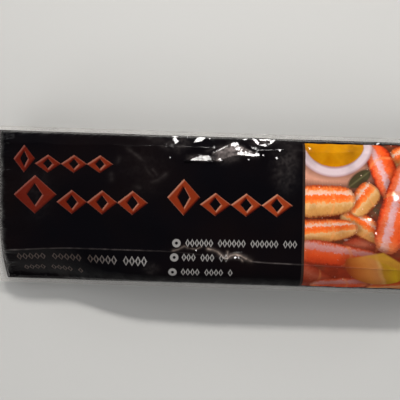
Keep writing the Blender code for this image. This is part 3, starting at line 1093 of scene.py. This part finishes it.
LEGS = (  # from the back forwards: middle, half length and width, direction in degrees, taper, colours
    ((96, -15), (30, 11), 82, 0.10, SHELL),
    ((85, -8), (21, 10), 28, 0.20, CLAW),
    ((99, -64), (32, 11), -82, 0.15, SHELL),
    ((78, -112), (28, 9.5), 12, 0.20, CLAW),
    ((6, -106), (24, 8.5), -28, 0.20, SHADED_LEG),
    ((29, -115), (23, 8), 6, 0.10, LOWER),
    ((88, -88), (24, 10), 66, 0.15, LOWER),
    ((50, -80), (24, 8.5), 20, 0.20, SHADED_LEG),
    ((46, -66), (20, 9), -32, 0.20, CLAW),
    ((15, -70), (27, 9.5), 6, 0.25, CLAW),
    ((60, -20), (27, 10.4), 114, 0.10, SHELL),
    ((45.5, -45.5), (14, 9.8), 50, -0.10, CLAW),
    ((16, -46.5), (23.5, 12.4), 3, 0.15, CLAW),
    ((72, -50), (38, 12), 76, 0.16, SHELL),
    ((27, -88.5), (35, 8.8), -7, 0.22, LOWER),
)
LEG_CREAM = ink(226, 178, 118)
LEG_CREAM_FROM = (0.45, 1.0)  # of the way to its ends
LEG_CREAM_AMOUNT = 0.55
LEG_EDGE = ink(122, 32, 16)
LEG_RIM = (-0.1, 0.12, 0.16, 0.45)  # where, half width, blur, amount
LEG_SEAM = ink(236, 150, 84)
SEAM = (0.28, 0.16, 0.040, 0.42)  # along a leg: where, how far it bends, half width, amount
TOOTH_PACE = 0.0021
TOOTH = 0.16
RAGGED_SCALE = 330
RAGGED = 0.6
STREAK_SIZE = (0.0016, 0.0034)
STREAK = 0.19
GRAIN = 0.22
BLOTCH_SCALE = 85
BLOTCH = 0.24
# Shadows round what lies on the picture: reach and blur in the shape's own size, amount
LEG_SHADOW = (0.275, 1.10, 0.72)
DISH_SHADOW = (1.08, 0.16, 0.5)
LEMON_SHADOW = (0.25, 0.9, 0.7)
# Specks on the legs: scale, the noise from which they show, amount, colour
SPECKS = ((620, (0.70, 0.78), 0.5, ink(110, 34, 18)), (430, (0.30, 0.24), 0.7, ink(246, 206, 186)))
# What dims the picture: its own shadows, and painted shade over its lower part, where the film turns from the
# light
DIM_SCALE = 38
DIM_FROM = (0.52, 0.80)
DIM_AMOUNT = 0.5
LOW_SHADE_FROM = (-0.055, -0.100)
LOW_SHADE_AMOUNT = 0.58

# Middle, size and turn of each sliver in the gaps, lemon wedge and leaf
SHARDS = (((54, -77), (7, 6), 190), ((35, -78.5), (5.2, 4.6), 170), ((90, -34), (5, 3.6), 50))
LEMONS = (((56, -98.5), (24, 14), -10), ((96, -103), (14, 10), 40))
LEAVES = (((42, -29), (11, 5.2), 38), ((22, -80), (20, 5), -4), ((92, -48), (12, 6), 70))
SHARD_TIP = 0.6
SHARD_BASE = 0.5
SHARD_BLUR = 0.2
SHARD = ink(204, 180, 166)
LEMON = stops(
    (0.00, 112, 60, 22), (0.14, 160, 98, 36), (0.36, 196, 136, 62), (0.52, 190, 138, 74),
    (0.58, 206, 170, 96), (0.63, 176, 150, 34), (0.82, 192, 176, 24), (1.00, 130, 116, 22),
)
LEMON_BLUR = 0.12
LEMON_GRAIN = 0.14
LEMON_GRAIN_SCALE = 1.5
FLESH_LEAN = 0.16
PEEL_LEAN = 0.35
PEEL_FROM = (0.35, 0.50)
PEEL_AMOUNT = 0.8
LEMON_PEEL = ink(190, 148, 52)
WEDGE_ROOF = (0.15, 0.62, 0.92)  # its ridge's place, its slope and its height
LEAF_VEIN = 0.07
LEAF_BLUR = 0.3
LEAF_GREEN = ink(66, 62, 40)
LEAF_LIGHT = ink(104, 98, 66)


def lay_shadow(art, size, reach, blur, amount):
    art.lay((size - reach).inside(blur) * amount, GROUND_DARK)


def paint_leg(art, plane, uneven, grain, middle, size, turn, taper, colours):
    leg = plane.placed(mm(middle), mm(size), turn)
    across = leg.v / (leg.u * -taper + 1.0)
    teeth = abs((leg.u * (mm(size[0]) / TOOTH_PACE)).part_of_one() - 0.5) * TOOTH
    along = leg.u * leg.u
    edge = across * across + along * along + teeth + uneven * RAGGED - 1.0
    streaks = plane.placed(mm(middle), STREAK_SIZE, turn).mottle(1.0, detail=2) - 0.5
    shell = shades(art.tree, across * 0.5 + 0.5 + streaks * STREAK + grain * GRAIN, colours)
    shell = mixed(along.ramp(*LEG_CREAM_FROM) * LEG_CREAM_AMOUNT, shell, LEG_CREAM)
    where, bend, width, amount = SEAM
    seam = (abs(leg.u - where + across * across * bend) - width).inside(width) * amount
    lay_shadow(art, edge, *LEG_SHADOW)
    art.lay(edge.inside(2 * PANEL_BLUR / mm(size[1])), mixed(seam, shell, LEG_SEAM))
    where, width, blur, amount = LEG_RIM
    art.lay((abs(edge - where) - width).inside(blur) * amount, LEG_EDGE)


def paint_plate(art, plane):
    plate = plane.placed(PLATE_MIDDLE, PLATE_SIZE).radius()
    art.lay((plate - 1.0).inside(PLATE_BLUR), mixed(plate.ramp(PLATE_RIM_FROM, 1.0), PLATE_PINK, PLATE_DARK))


def paint_dish(art, plane):
    outside = plane.placed(DISH_MIDDLE, DISH_OUTSIDE).radius()
    inside = plane.placed(DISH_MIDDLE, DISH_INSIDE)
    yellow = mixed(inside.mottle(SAUCE_SCALE).ramp(*SAUCE_FROM), SAUCE_DEEP, SAUCE_LIGHT)
    lay_shadow(art, outside, *DISH_SHADOW)
    art.lay((outside - 1.0).inside(DISH_BLUR), shades(art.tree, outside.ramp(DISH_RIM_FROM, 1.0), DISH_RIM))
    art.lay((inside.radius() - 1.0).inside(SAUCE_BLUR), yellow)


def paint_lemons(art, plane):
    ridge_at, slope, height = WEDGE_ROOF
    for middle, size, turn in LEMONS:
        wedge = plane.placed(mm(middle), mm(size), turn)
        roof = wedge.v + abs(wedge.u - ridge_at) * slope - height
        body = (wedge.u * wedge.u + wedge.v * wedge.v - 1.0).highest(roof)
        place = wedge.u * 0.5 + wedge.v * FLESH_LEAN + 0.5
        flesh = shades(art.tree, place + (wedge.mottle(LEMON_GRAIN_SCALE) - 0.5) * LEMON_GRAIN, LEMON)
        peel = mixed((wedge.v + wedge.u * PEEL_LEAN).ramp(*PEEL_FROM) * PEEL_AMOUNT, flesh, LEMON_PEEL)
        lay_shadow(art, body, *LEMON_SHADOW)
        art.lay(body.inside(LEMON_BLUR), peel)


def paint_fillings(art, plane):
    """Leaves and pale slivers in the gaps between the legs."""
    for middle, size, turn in LEAVES:
        leaf = plane.placed(mm(middle), mm(size), turn)
        vein = (abs(leaf.v) - LEAF_VEIN).inside(LEAF_BLUR)
        art.lay((leaf.radius() - 1.0).inside(LEAF_BLUR), mixed(vein, LEAF_GREEN, LEAF_LIGHT))
    for middle, size, turn in SHARDS:
        sliver = plane.placed(mm(middle), mm(size), turn)
        triangle = (abs(sliver.u) + sliver.v - SHARD_TIP).highest(sliver.v * -1 - SHARD_BASE)
        art.lay(triangle.inside(SHARD_BLUR), SHARD)


def paint_panel(art, plane):
    corner = plane.placed(PANEL_CORNER)
    panel = Print(art.tree, shades(art.tree, corner.mottle(GROUND_SCALE), GROUND))
    grain = corner.mottle(RAGGED_SCALE) - 0.5
    uneven = grain * 0.5 + (corner.mottle(BLOTCH_SCALE) - 0.5) * BLOTCH
    paint_plate(panel, corner)
    paint_fillings(panel, corner)
    for leg in LEGS:
        paint_leg(panel, corner, uneven, grain, *leg)
    for scale, shown, amount, colour in SPECKS:
        panel.lay(corner.mottle(scale, detail=1).ramp(*shown) * amount, colour)
    paint_lemons(panel, corner)
    paint_dish(panel, corner)
    panel.lay(corner.mottle(DIM_SCALE).ramp(*DIM_FROM) * DIM_AMOUNT, GROUND_DARK)
    # painted shade over the picture's lower part, where the film turns from the light
    panel.lay(corner.v.ramp(*LOW_SHADE_FROM) * LOW_SHADE_AMOUNT, GROUND_RED)
    half = (PANEL_SIZE[0] / 2, PANEL_SIZE[1] / 2)
    middle = corner.placed((half[0], -half[1]))
    line = abs(corner.u + PANEL_LINE_GAP) - PANEL_LINE_WIDTH
    art.lay(line.highest(abs(middle.v) - half[1]).inside(EDGE_BLUR), PANEL_LINE)
    art.lay(middle.rectangle(*half).inside(EDGE_BLUR), panel.colour)


# ---- materials ----

FILM_ROUGHNESS = (0.08, 0.18)
FACET_ROUGHNESS = 0.05
CLEAR_ROUGHNESS = 0.12
FILM_SPECULAR = 0.05
WARM_SCALE = 14
WARM_FROM = (0.40, 0.70)
# grey of the milky film, and of its painted reflections and sheen
HAZE_AND_REFLECTION_GREY = ink(150, 139, 136)
# pale grey of worn folds and of their painted highlights
SCUFF_AND_HIGHLIGHT_GREY = ink(190, 170, 158)
SMEAR_SCALE = 38
SMEARS_FROM = (0.35, 0.70)
FACET_SCALE = 230
FACET_SLOPE = 0.40
FINE_CRINKLE_SCALE = 420
FINE_CRINKLE = 0.00010
SOFT_DENT_SCALE = 110
SOFT_DENT = 0.00016
SIDE_PLEAT_SIZE = (0.0055, 0.030)  # of the upright pleats down the sides
SIDE_PLEAT = 0.0036
CLEAR_TINT = ink(206, 202, 196)
CLEAR_SHADE = ink(66, 62, 62)
CLEAR_ALPHA = 0.22
LINE_ALPHA = 0.50
LINE_BLUR = 0.05
SEAL_LINES = ((0.46, 0.03), (0.97, 0.06))  # across the margin: where, and half width
FOLD_LINE = (0.16, 0.09)  # the darker line where the two films meet
FOLD_BLUR = 0.08
FOLD_ALPHA = 0.75


def new_material(name):
    material = bpy.data.materials.new(name)
    material.use_nodes = True
    return material, material.node_tree, material.node_tree.nodes["Principled BSDF"]


def held(tree, name):
    """What each corner of the mesh holds under this name, as a node."""
    return add_node(tree, "Attribute", {}, attribute_name=name)


def number_on(tree, name):
    return Field(tree, held(tree, name).outputs["Fac"])


def vector_on(tree, name):
    return held(tree, name).outputs["Vector"]


def film_print(film):
    """Black film with warmer patches."""
    art = Print(film.tree, FILM_BLACK)
    art.lay(film.mottle(WARM_SCALE, detail=2).ramp(*WARM_FROM), FILM_BLACK_WARM)
    return art


def facets(film):
    """Heights of small cones side by side, like film that is crumpled into facets."""
    node = add_node(film.tree, "TexVoronoi", {"Vector": film.vector, "Scale": FACET_SCALE})
    return Field(film.tree, node.outputs["Distance"]) * (FACET_SLOPE / FACET_SCALE)


def with_glints(tree, normal, turned):
    """The bumped normal, turned to the glints' own by their length."""
    length = Field(tree, vector_math(tree, "LENGTH", {0: turned}))
    kept = vector_math(tree, "SCALE", {"Vector": normal, "Scale": length * -1 + 1.0})
    return vector_math(tree, "NORMALIZE", {0: vector_math(tree, "ADD", {0: kept, 1: turned})})


def film_gloss(shader, film, folded):
    """Uneven gloss and the fine crinkles of thin film, and on the folded front its facets and glints."""
    tree = film.tree
    gloss = film.mottle(SMEAR_SCALE, detail=5).ramp(*SMEARS_FROM)
    gloss = gloss * (FILM_ROUGHNESS[1] - FILM_ROUGHNESS[0]) + FILM_ROUGHNESS[0]
    dents = film.mottle(SOFT_DENT_SCALE, detail=2) * SOFT_DENT
    crinkle = abs(film.mottle(FINE_CRINKLE_SCALE, detail=4) - 0.5) * FINE_CRINKLE
    steep = Plane(tree, vector_on(tree, "steep"))
    down_side = film.placed(size=SIDE_PLEAT_SIZE).mottle(1.0, detail=2) * steep.u
    down_end = film.placed(size=SIDE_PLEAT_SIZE[::-1]).mottle(1.0, detail=2) * steep.v
    height = dents + crinkle + (down_side + down_end) * SIDE_PLEAT
    if folded:
        gloss = (gloss - FACET_ROUGHNESS) * (number_on(tree, "shine") * -1 + 1.0) + FACET_ROUGHNESS
        height = height + facets(film) * number_on(tree, "loose")
    normal = add_node(tree, "Bump", {"Strength": 1, "Distance": 1, "Height": height}).outputs["Normal"]
    if folded:
        normal = with_glints(tree, normal, vector_on(tree, "glint"))
    feed(tree, shader, {"Roughness": gloss, "Specular IOR Level": FILM_SPECULAR, "Normal": normal})


def front_material():
    material, tree, shader = new_material("printed_film")
    film = Plane(tree, vector_on(tree, "print_place"))
    plane = film.placed(degrees=PRINT_TURN)
    art = film_print(film)
    paint_titles(art, plane)
    paint_small_rows(art, plane)
    paint_panel(art, plane)
    # painted reflection and sheen: milky grey where the film stands off the print, along faint creases and on
    # the crease's line
    art.lay(number_on(tree, "haze_and_reflection"), HAZE_AND_REFLECTION_GREY)
    # worn pale folds, also painted highlight along their crests
    art.lay(number_on(tree, "scuffs_and_highlights"), SCUFF_AND_HIGHLIGHT_GREY)
    feed(tree, shader, {"Base Color": art.colour})
    film_gloss(shader, film, folded=True)
    return material


def back_material():
    material, tree, shader = new_material("plain_film")
    film = Plane(tree, add_node(tree, "TexCoord", {}).outputs["Object"])
    feed(tree, shader, {"Base Color": film_print(film).colour})
    film_gloss(shader, film, folded=False)
    return material


def clear_material():
    """Two layers of clear film, with pressed lines along the seal."""
    material, tree, shader = new_material("clear_film")
    across = number_on(tree, "seal_place")
    lines = reduce(Field.lowest, [abs(across - where) - half_width for where, half_width in SEAL_LINES])
    fold = (abs(across - FOLD_LINE[0]) - FOLD_LINE[1]).inside(FOLD_BLUR)
    alpha = lines.inside(LINE_BLUR) * (LINE_ALPHA - CLEAR_ALPHA) + CLEAR_ALPHA
    colour = mixed(fold, CLEAR_TINT, CLEAR_SHADE)
    alpha = alpha.highest(fold * FOLD_ALPHA)
    feed(tree, shader, {"Base Color": colour, "Alpha": alpha, "Roughness": CLEAR_ROUGHNESS})
    return material


# ---- stage, light and camera ----

FLOOR_HALF = 1.9
FLOOR_LEVEL = -0.0002
FLOOR_PALE = (0.53, 0.525, 0.51, 1)
FLOOR_ROUGHNESS = 0.75
CORNERS = (("back_left", -1, 1), ("back_right", 1, 1), ("front_left", -1, -1), ("front_right", 1, -1))
# Lights: what they aim at, size, watts
KEY = ((0, 0, 0.04), (0.18, 0.12), 5.6)
KEY_COLOUR = (1.0, 0.98, 0.95)
KEY_SPREAD = math.radians(100)
FILL = ((0, 0, 0.03), (1.1, 1.1), 6.0)
FILL_PLACE = (0.95, 0.95, 1.15)
STRIP = ((0, 0, 0.03), (0.7, 0.35), 3.8)  # low lights that show in the gloss, where the fills don't
STRIP_PLACE = (1.30, 1.30, 0.70)
WORLD_GREYS = (  # from the horizon to straight above
    (0.0, 0.46), (0.06, 0.42), (0.14, 0.13), (0.40, 0.11), (0.70, 0.06), (0.90, 0.016), (1.0, 0.010)
)


def make_floor():
    mesh, _, _ = grid_mesh("floor", 1, 1, FLOOR_HALF)
    floor = piece("floor", mesh)
    floor.location.z = FLOOR_LEVEL
    material, tree, shader = new_material("floor_paint")
    feed(tree, shader, {"Base Color": FLOOR_PALE, "Roughness": FLOOR_ROUGHNESS})
    mesh.materials.append(material)


def add_area_light(name, place, aim, size, watts, colour=(1, 1, 1)):
    lamp = bpy.data.lights.new(name, "AREA")
    lamp.shape = "RECTANGLE"
    lamp.size, lamp.size_y = size
    lamp.energy = watts
    lamp.color = colour
    holder = piece(name, lamp)
    holder.location = place
    holder.rotation_euler = (Vector(aim) - Vector(place)).to_track_quat("-Z", "Y").to_euler()
    return holder


def make_lights():
    key = add_area_light("key", KEY_PLACE, *KEY, KEY_COLOUR)
    key.data.spread = KEY_SPREAD
    for name, *sides in CORNERS:
        fill = add_area_light(name, np.multiply(FILL_PLACE, (*sides, 1)), *FILL)
        fill.visible_glossy = False
        add_area_light(name + "_strip", np.multiply(STRIP_PLACE, (*sides, 1)), *STRIP)


def make_world():
    world = bpy.data.worlds.new("studio")
    bpy.context.scene.world = world
    world.use_nodes = True
    tree = world.node_tree
    up = Plane(tree, add_node(tree, "TexCoord", {}).outputs["Generated"])
    greys = [(height, (grey, grey, grey, 1)) for height, grey in WORLD_GREYS]
    feed(tree, tree.nodes["Background"], {"Color": shades(tree, up.w, greys)})


def make_camera():
    lens = bpy.data.cameras.new("camera")
    lens.sensor_width = SENSOR_MM
    lens.lens = SENSOR_MM * FOCAL_PIXELS / FRAME_PIXELS
    camera = piece("camera", lens)
    camera.location = CAMERA_PLACE
    camera.rotation_euler = (0, 0, CAMERA_ROLL)
    bpy.context.scene.camera = camera


def dress(made, material):
    made.data.materials.append(material)
    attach(made, "root")
    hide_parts("pouch")


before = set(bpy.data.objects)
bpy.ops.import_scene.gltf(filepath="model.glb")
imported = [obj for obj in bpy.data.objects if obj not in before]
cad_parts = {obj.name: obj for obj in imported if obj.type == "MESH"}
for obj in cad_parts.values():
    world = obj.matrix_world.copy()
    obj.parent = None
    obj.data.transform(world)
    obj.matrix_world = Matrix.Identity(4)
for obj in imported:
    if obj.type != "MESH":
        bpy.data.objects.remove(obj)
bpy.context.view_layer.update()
make_camera()
dress(make_front_film(), front_material())
dress(make_back_film(), back_material())
dress(make_margin(), clear_material())
make_floor()
make_lights()
make_world()
bpy.context.scene.view_settings.view_transform = "Standard"
